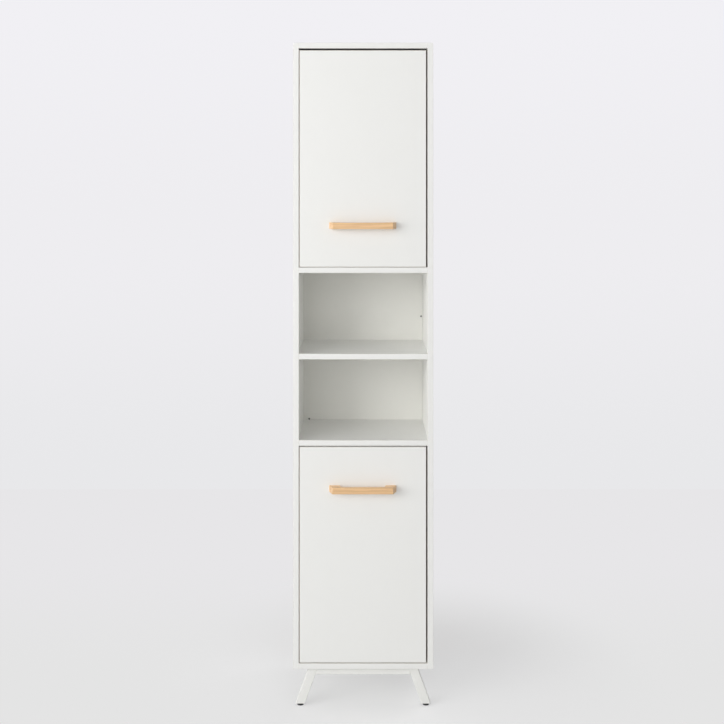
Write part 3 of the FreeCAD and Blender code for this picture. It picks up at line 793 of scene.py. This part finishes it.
def flat_sided_ring(height: float, radius: float, sides: int) -> Ring:
    """A loop with flat sides whose corners lie at the radius.

    Args:
        height: where it lies.
        radius: from the middle to a corner.
        sides: how many flat sides it has.

    Returns:
        The loop.
    """
    step = 2 * math.pi / sides
    apothem = radius * math.cos(step / 2)
    turns = [2 * math.pi * spoke / SPOKES for spoke in range(SPOKES)]
    return Ring(height, tuple(apothem / math.cos(turn % step - step / 2) for turn in turns))


def thread_rings(start: float, end: float, core: float, crest: float, pitch: float) -> list[Ring]:
    """The loops of a screw thread.

    Args:
        start: the lower height.
        end: the upper height.
        core: the radius between the threads.
        crest: the radius on the threads.
        pitch: the height of one turn.

    Returns:
        Loops from start to end.
    """
    rings = []
    loops_a_turn = 6
    count = max(2, round((end - start) / pitch * loops_a_turn))
    for index in range(count + 1):
        height = start + (end - start) * index / count
        radii = []
        for spoke in range(SPOKES):
            phase = (height / pitch - spoke / SPOKES) % 1
            radii.append(core + (crest - core) * (1 - abs(2 * phase - 1)))
        rings.append(Ring(height, tuple(radii)))
    return rings


class Turned:
    """Gathers turned shapes into one mesh object."""

    def __init__(self, name: str) -> None:
        """Start an empty piece.

        Args:
            name: the object's name.
        """
        self.name = name
        self.points: list[Vector] = []
        self.faces: list[tuple[int, ...]] = []

    def add(self, rings: Sequence[Ring], base: Vector, axis: Vector) -> None:
        """Add one shape, closed at both ends.

        Args:
            rings: its loops from the bottom up, heights measured along the axis.
            base: where height 0 is.
            axis: the way up.
        """
        turn = Vector((0, 0, 1)).rotation_difference(axis).to_matrix()
        first = len(self.points)
        for ring in rings:
            for spoke, radius in enumerate(ring.radii):
                angle = 2 * math.pi * spoke / SPOKES
                local = Vector((radius * math.cos(angle), radius * math.sin(angle), ring.height))
                self.points.append(base + turn @ local)
        for level in range(len(rings) - 1):
            low, high = first + level * SPOKES, first + (level + 1) * SPOKES
            for spoke in range(SPOKES):
                after = (spoke + 1) % SPOKES
                self.faces.append((low + spoke, low + after, high + after, high + spoke))
        bottom, top = len(self.points), len(self.points) + 1
        self.points.append(base + axis * rings[0].height)
        self.points.append(base + axis * rings[-1].height)
        last = first + (len(rings) - 1) * SPOKES
        for spoke in range(SPOKES):
            after = (spoke + 1) % SPOKES
            self.faces.append((bottom, first + after, first + spoke))
            self.faces.append((top, last + spoke, last + after))

    def finish(self, body: str, node: str, crease: float) -> None:
        """Make the object that stands for a CAD node.

        Args:
            body: the body it rides on.
            node: the CAD node it replaces, whose slot it takes.
            crease: the angle in degrees above which an edge is sharp.
        """
        mesh = bpy.data.meshes.new(self.name)
        mesh.from_pydata(self.points, [], self.faces)
        mesh.shade_smooth()
        mesh.set_sharp_from_angle(angle=math.radians(crease))
        obj = placed(self.name, mesh)
        slot = NODE_SLOTS[node]
        mesh.materials.append(MATERIALS[slot])
        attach(obj, body)
        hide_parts(node)


@dataclass(frozen=True)
class Fitting:
    """A small turned fitting, in metres, with its outer face at height 0."""

    crease: ClassVar[float] = 32.0

    def rings(self, length: float, radius: float) -> list[Ring]:
        """The fitting's loops from its inner end up.

        Args:
            length: the overall length.
            radius: the widest radius.

        Returns:
            The loops.
        """
        raise NotImplementedError

    def replace(self, node: str, body: str, axis: Optional[Axis] = None) -> None:
        """Build every fitting of a CAD node.

        Args:
            node: the CAD node of these fittings.
            body: the body it rides on.
            axis: the way they face, or nothing for away from the nearer side panel.
        """
        piece = Turned(node + "_cut")
        for box in solids_of(node):
            way = axis or (Axis.RIGHT if box.centre.x < 0 else Axis.LEFT)
            tip, length, radius = way.ends(box)
            piece.add(self.rings(length, radius), tip, way.vector)
        piece.finish(body, node, self.crease)


@dataclass(frozen=True)
class Screw(Fitting):
    """A cross-recessed screw with a low domed head."""

    head_height: float
    shank_radius: float
    pitch: float = 0.0012
    core_share: float = 0.78
    tip_share: float = 0.75
    skirt_share: float = 0.96
    skirt_rise: float = 0.12
    dome: tuple[Pair, ...] = ((0.4, 1.0), (0.68, 0.96), (0.88, 0.86), (1.0, 0.7))
    recess_depth: float = 0.0009
    recess_share: float = 0.55
    recess: tuple[Pair, ...] = ((0.0, 1.0), (0.15, 0.93), (1.0, 0.6))

    def rings(self, length: float, radius: float) -> list[Ring]:
        """The thread, the domed head and its cross recess."""
        under = -self.head_height
        core = self.shank_radius * self.core_share
        lead = self.pitch / 2
        rings = profile((-length, core * self.tip_share))
        rings += thread_rings(-length + lead, under - lead, core, self.shank_radius, self.pitch)
        rings += profile((under, self.shank_radius), (under, radius * self.skirt_share),
                         (under + self.head_height * self.skirt_rise, radius))
        rings += profile(*((under + self.head_height * rise, radius * share)
                           for rise, share in self.dome))
        reach = radius * self.recess_share
        return rings + [cross_ring(-self.recess_depth * sink, reach * share)
                        for sink, share in self.recess]


@dataclass(frozen=True)
class CamLock(Fitting):
    """A cam lock with a channel round it, a chamfered rim and a cross recess."""

    rim: float = 0.0006
    recess_depth: float = 0.0035
    channel_share: float = 0.34
    foot_share: float = 0.94
    waist_share: float = 0.8
    face_share: float = 0.76
    dish_share: float = 0.7
    cross_share: float = 0.55
    cross_floor_share: float = 0.4

    def rings(self, length: float, radius: float) -> list[Ring]:
        """The two rims, the channel between them and the recess."""
        channel, waist = length * self.channel_share, radius * self.waist_share
        rings = profile((-length, radius * self.foot_share), (-length + self.rim, radius),
                        (-length + channel, radius), (-length + channel, waist),
                        (-channel, waist), (-channel, radius),
                        (-self.rim, radius), (0.0, radius - self.rim),
                        (0.0, radius * self.face_share), (-self.rim, radius * self.dish_share))
        return rings + [cross_ring(-self.rim, radius * self.cross_share),
                        cross_ring(-self.recess_depth, radius * self.cross_floor_share)]


@dataclass(frozen=True)
class ShelfPin(Fitting):
    """A shelf pin with a collar and a rounded peg."""

    peg: float = 0.0025
    reach: float = 0.008
    collar_thickness: float = 0.0008
    rounding: float = 0.0008

    def rings(self, length: float, radius: float) -> list[Ring]:
        """The end in the panel, the collar and the peg that bears the shelf."""
        peg, back, thick = self.peg, -self.reach, self.collar_thickness
        return profile((-length, peg * 0.8), (-length + self.rounding, peg),
                       (back, peg), (back, radius * 0.97),
                       (back + thick * 0.5, radius), (back + thick, radius * 0.95),
                       (back + thick, peg * 1.04), (back + thick * 1.4, peg),
                       (-self.rounding, peg), (-self.rounding * 0.3, peg * 0.9),
                       (0.0, peg * 0.7))


@dataclass(frozen=True)
class PanelClip(Fitting):
    """A clip that holds the back panel, with a domed head."""

    crease: ClassVar[float] = 40.0
    head: float = 0.0015
    shank: float = 0.0014
    dome: tuple[float, ...] = (0.35, 0.6, 0.8, 0.93, 1.0)
    flat: float = 0.02

    def rings(self, length: float, radius: float) -> list[Ring]:
        """The shank and the dome."""
        rings = profile((-length, self.shank / 2), (-length + self.shank, self.shank),
                        (-self.head, self.shank), (-self.head, radius))
        dome = ((-self.head * (1 - rise), radius * math.sqrt(1 + self.flat - rise ** 2))
                for rise in self.dome)
        return rings + profile(*dome)


@dataclass(frozen=True)
class GlideFoot(Fitting):
    """A glide's foot: a rounded pad below, a six-sided waist to turn it by and a collar."""

    sides: int = 6
    rounding: float = 0.0005
    pad_share: float = 0.9
    pad_top: float = 0.55
    shoulder_top: float = 0.45
    shoulder_share: float = 0.96
    waist: tuple[Pair, ...] = ((0.42, 0.9), (0.08, 0.88))
    collar_share: float = 0.7

    def rings(self, length: float, radius: float) -> list[Ring]:
        """The pad, the waist and the collar."""
        rings = profile((-length, radius * self.pad_share), (-length + self.rounding, radius),
                        (-length * self.pad_top, radius),
                        (-length * self.shoulder_top, radius * self.shoulder_share))
        rings += [flat_sided_ring(-length * down, radius * share, self.sides)
                  for down, share in self.waist]
        return rings + profile((0.0, radius * self.collar_share))


# ------------------------------------------------------------------ sub-assemblies


@dataclass(frozen=True)
class Carcass:
    """The box: its boards, its back and the fittings that join them."""

    body: str = "carcass"
    boards: tuple[str, ...] = ("left_side_panel", "right_side_panel", "bottom_panel",
                               "lower_cupboard_roof", "niche_divider", "upper_cupboard_floor",
                               "top_panel", "back_panel")
    hardware: tuple[str, ...] = ("dowels", "cam_bolts", "wall_brackets")
    cam_lock: CamLock = CamLock()
    shelf_pin: ShelfPin = ShelfPin()
    clip: PanelClip = PanelClip()
    bracket_screw: Screw = Screw(head_height=0.0022, shank_radius=0.002)

    def build(self) -> None:
        """Build and dress the box and its fittings."""
        dress_nodes(self.boards + self.hardware)
        self.cam_lock.replace("cam_locks", self.body, Axis.DOWN)
        self.shelf_pin.replace("shelf_pins", self.body)
        self.clip.replace("back_panel_clips", self.body, Axis.FRONT)
        self.bracket_screw.replace("wall_bracket_screws", self.body, Axis.DOWN)


class Level(Enum):
    """The two cupboards."""

    UPPER = "upper"
    LOWER = "lower"


@dataclass(frozen=True)
class Cupboard:
    """A door with its handle and hinges, and the shelf behind it."""

    level: Level
    body: str = "carcass"
    pieces: tuple[str, ...] = ("door", "handle", "shelf", "hinge_cups", "hinge_links", "hinge_arms",
                               "hinge_arm_pins", "hinge_cup_pins", "hinge_plates")
    handle_screw: Screw = Screw(head_height=0.0022, shank_radius=0.002)
    cup_screw: Screw = Screw(head_height=0.0016, shank_radius=0.0017)
    plate_screw: Screw = Screw(head_height=0.0016, shank_radius=0.0025, pitch=0.0018)
    arm_screw: Screw = Screw(head_height=0.0015, shank_radius=0.0017, pitch=0.0008)

    def node(self, ending: str) -> str:
        """A CAD node of this cupboard."""
        return f"{self.level.value}_{ending}"

    def build(self) -> None:
        """Build and dress the door, its handle, its hinges and the shelf."""
        door = self.node("door_body")
        dress_nodes([self.node(piece) for piece in self.pieces])
        self.handle_screw.replace(self.node("handle_screws"), door, Axis.BACK)
        self.cup_screw.replace(self.node("hinge_cup_screws"), door, Axis.BACK)
        self.plate_screw.replace(self.node("hinge_plate_screws"), self.body, Axis.RIGHT)
        self.arm_screw.replace(self.node("hinge_arm_screws"), self.body, Axis.RIGHT)


class End(Enum):
    """The front and the rear of the cabinet."""

    FRONT = "front"
    REAR = "rear"


@dataclass(frozen=True)
class LegFrame:
    """A rail, two splayed legs and their glides."""

    end: End
    body: str = "carcass"
    pieces: tuple[str, ...] = ("rail", "left_leg", "right_leg", "left_glide_stud",
                               "right_glide_stud")
    glide_feet: tuple[str, ...] = ("left_glide_foot", "right_glide_foot")
    foot: GlideFoot = GlideFoot()

    def node(self, ending: str) -> str:
        """A CAD node of this frame."""
        return f"{self.end.value}_{ending}"

    def build(self) -> None:
        """Build and dress the frame and its glides."""
        dress_nodes([self.node(piece) for piece in self.pieces])
        for piece in self.glide_feet:
            self.foot.replace(self.node(piece), self.body, Axis.UP)


@dataclass(frozen=True)
class FrameFixings:
    """The tabs and screws that hold both leg frames to the box, and the plugs in the legs."""

    body: str = "carcass"
    pieces: tuple[str, ...] = ("frame_tabs", "leg_plugs")
    screw: Screw = Screw(head_height=0.0032, shank_radius=0.0025, pitch=0.0018)

    def build(self) -> None:
        """Build and dress the fixings."""
        dress_nodes(self.pieces)
        self.screw.replace("frame_screws", self.body, Axis.DOWN)


# ------------------------------------------------------------------ studio


@dataclass(frozen=True)
class Lamp:
    """A square soft lamp that points at a spot."""

    name: str
    place: Point
    target: Point
    size: float
    power: float

    def build(self) -> None:
        """Make the lamp."""
        data = bpy.data.lights.new(self.name, "AREA")
        data.size, data.energy = self.size, self.power
        obj = placed(self.name, data)
        obj.location = self.place
        aim = Vector(self.target) - Vector(self.place)
        obj.rotation_euler = aim.to_track_quat("-Z", "Y").to_euler()


@dataclass(frozen=True)
class Studio:
    """The pale floor, the backdrop and the lamps."""

    floor_front_color: Rgb = tone(228, 228, 228)
    floor_back_color: Rgb = tone(231, 230, 232)
    floor_fade_end: float = 1.2
    floor_albedo: float = 0.74
    floor_seen_albedo: float = 0.59
    floor_lift: float = 0.387
    shadow_middle: Point = (0.12, 0.12, 0.0)
    shadow_near: float = 0.25
    shadow_far: float = 0.85
    low_color: Rgb = tone(232, 232, 234)
    middle_color: Rgb = tone(238, 237, 240)
    high_color: Rgb = tone(241, 240, 244)
    middle_height: float = 1.2
    high_height: float = 2.4
    backdrop_y: float = 2.2
    backdrop_top: float = 6.0
    reach: float = 18.0
    ambient: float = 0.40
    lamps: tuple[Lamp, ...] = (
        Lamp("key", (-4.1, -4.3, 2.35), (0.0, 0.0, 0.7), size=3.6, power=144.0),
        Lamp("fill", (-0.8, -5.2, 2.1), (0.0, 0.0, 0.6), size=2.8, power=31.0),
        Lamp("side", (-5.0, -2.0, 1.5), (0.0, 0.0, 0.8), size=2.2, power=58.0),
        Lamp("rear", (2.4, 3.0, 4.2), (0.0, 0.1, 1.0), size=4.0, power=130.0),
    )

    def build(self) -> None:
        """Make everything that isn't the cabinet or the camera."""
        self.build_floor()
        self.build_backdrop()
        self.build_world()
        for lamp in self.lamps:
            lamp.build()

    @staticmethod
    def seen(graph: Graph) -> Socket:
        """1 for what is seen directly or in a gloss, 0 for the light thrown on things."""
        path = graph.add("LightPath")
        return graph.math("MAXIMUM", path.outputs["Is Camera Ray"], path.outputs["Is Glossy Ray"])

    @staticmethod
    def sheet(name: str, corners: Sequence[Point], material: bpy.types.Material) -> None:
        """A flat four-cornered surface that isn't part of the object.

        Args:
            name: the object's name.
            corners: its corners in order.
            material: what it is made of.
        """
        mesh = bpy.data.meshes.new(name)
        mesh.from_pydata([Vector(c) for c in corners], [], [(0, 1, 2, 3)])
        mesh.materials.append(material)
        obj = placed(name, mesh)

    def build_floor(self) -> None:
        """Make the floor, shaded near the cabinet and of an even colour further off when seen."""
        made = open_material("studio_floor")
        graph = Graph(made.node_tree)
        seen = self.seen(graph)
        albedo = graph.blend(seen, (self.floor_albedo,) * 3, (self.floor_seen_albedo,) * 3)
        diffuse = graph.add("BsdfDiffuse", {"Color": albedo})
        lift = graph.add("Emission", {"Strength": graph.math("MULTIPLY", seen, self.floor_lift)})
        near = graph.add("AddShader", {0: diffuse.outputs[0], 1: lift.outputs[0]})
        point = graph.place()
        depth = graph.add("SeparateXYZ", {0: point}).outputs["Y"]
        fade = graph.span(depth, 0.0, self.floor_fade_end)
        far = graph.add("Emission", {"Color": graph.blend(fade, self.floor_front_color,
                                                          self.floor_back_color)})
        away = graph.add("VectorMath", {0: point, 1: self.shadow_middle}, operation="DISTANCE")
        even = graph.span(away.outputs["Value"], self.shadow_near, self.shadow_far)
        mixed = graph.add("MixShader", {0: graph.math("MULTIPLY", seen, even), 1: near.outputs[0],
                                        2: far.outputs[0]})
        graph.add("OutputMaterial", {"Surface": mixed.outputs[0]})
        wide, back = self.reach, self.backdrop_y
        corners = [(-wide, -wide, 0), (wide, -wide, 0), (wide, back, 0), (-wide, back, 0)]
        self.sheet("floor", corners, made)

    def build_backdrop(self) -> None:
        """Make the backdrop, which grows a little lighter upwards and is clear from behind."""
        made = open_material("studio_backdrop")
        graph = Graph(made.node_tree)
        height = graph.add("SeparateXYZ", {0: graph.place()}).outputs["Z"]
        low = graph.blend(graph.span(height, 0.0, self.middle_height), self.low_color,
                          self.middle_color)
        color = graph.blend(graph.span(height, self.middle_height, self.high_height), low,
                            self.high_color)
        strength = graph.math("MAXIMUM", self.seen(graph), self.ambient)
        glow = graph.add("Emission", {"Color": color, "Strength": strength})
        behind = graph.add("NewGeometry").outputs["Backfacing"]
        clear = graph.add("BsdfTransparent")
        mixed = graph.add("MixShader", {0: behind, 1: glow.outputs[0], 2: clear.outputs[0]})
        graph.add("OutputMaterial", {"Surface": mixed.outputs[0]})
        wide, y, top = self.reach, self.backdrop_y, self.backdrop_top
        corners = [(-wide, y, 0), (wide, y, 0), (wide, y, top), (-wide, y, top)]
        self.sheet("backdrop", corners, made)

    def build_world(self) -> None:
        """Set the even light of the room, and the pale colour seen behind everything."""
        world = bpy.data.worlds.new("room")
        bpy.context.scene.world = world
        world.use_nodes = True
        world.node_tree.nodes.clear()
        graph = Graph(world.node_tree)
        color = graph.blend(self.seen(graph), (self.ambient,) * 3, self.middle_color)
        light = graph.add("Background", {"Color": color})
        graph.add("OutputWorld", {"Surface": light.outputs[0]})


@dataclass(frozen=True)
class Camera:
    """The camera, where the photo was taken from."""

    distance: float = 3.36
    handle_projection: float = 0.03
    height: float = 1.522
    x: float = -0.0075
    sensor: float = 36.0
    lens: float = 58.46
    shift_x: float = 0.002
    shift_y: float = -0.2583

    def build(self) -> None:
        """Make the camera and look through it."""
        data = bpy.data.cameras.new("camera")
        data.sensor_width, data.lens = self.sensor, self.lens
        data.shift_x, data.shift_y = self.shift_x, self.shift_y
        obj = placed("camera", data)
        door_front = cad_box[0].y + self.handle_projection
        obj.location = (self.x, door_front - self.distance, self.height)
        obj.rotation_euler = (math.pi / 2, 0.0, 0.0)
        bpy.context.scene.camera = obj


def main() -> None:
    """Build every sub-assembly in order and report it."""
    logging.basicConfig(level=logging.INFO, format="%(name)s: %(message)s")
    bpy.context.scene.view_settings.view_transform = "Standard"
    Carcass().build()
    LOG.info("carcass dressed")
    for level in Level:
        Cupboard(level).build()
        LOG.info("%s cupboard dressed", level.value)
    FrameFixings().build()
    LOG.info("frame fixings dressed")
    for end in End:
        LegFrame(end).build()
        LOG.info("%s leg frame dressed", end.value)
    Studio().build()
    Camera().build()
    LOG.info("studio ready")


if __name__ == "__main__":
    main()
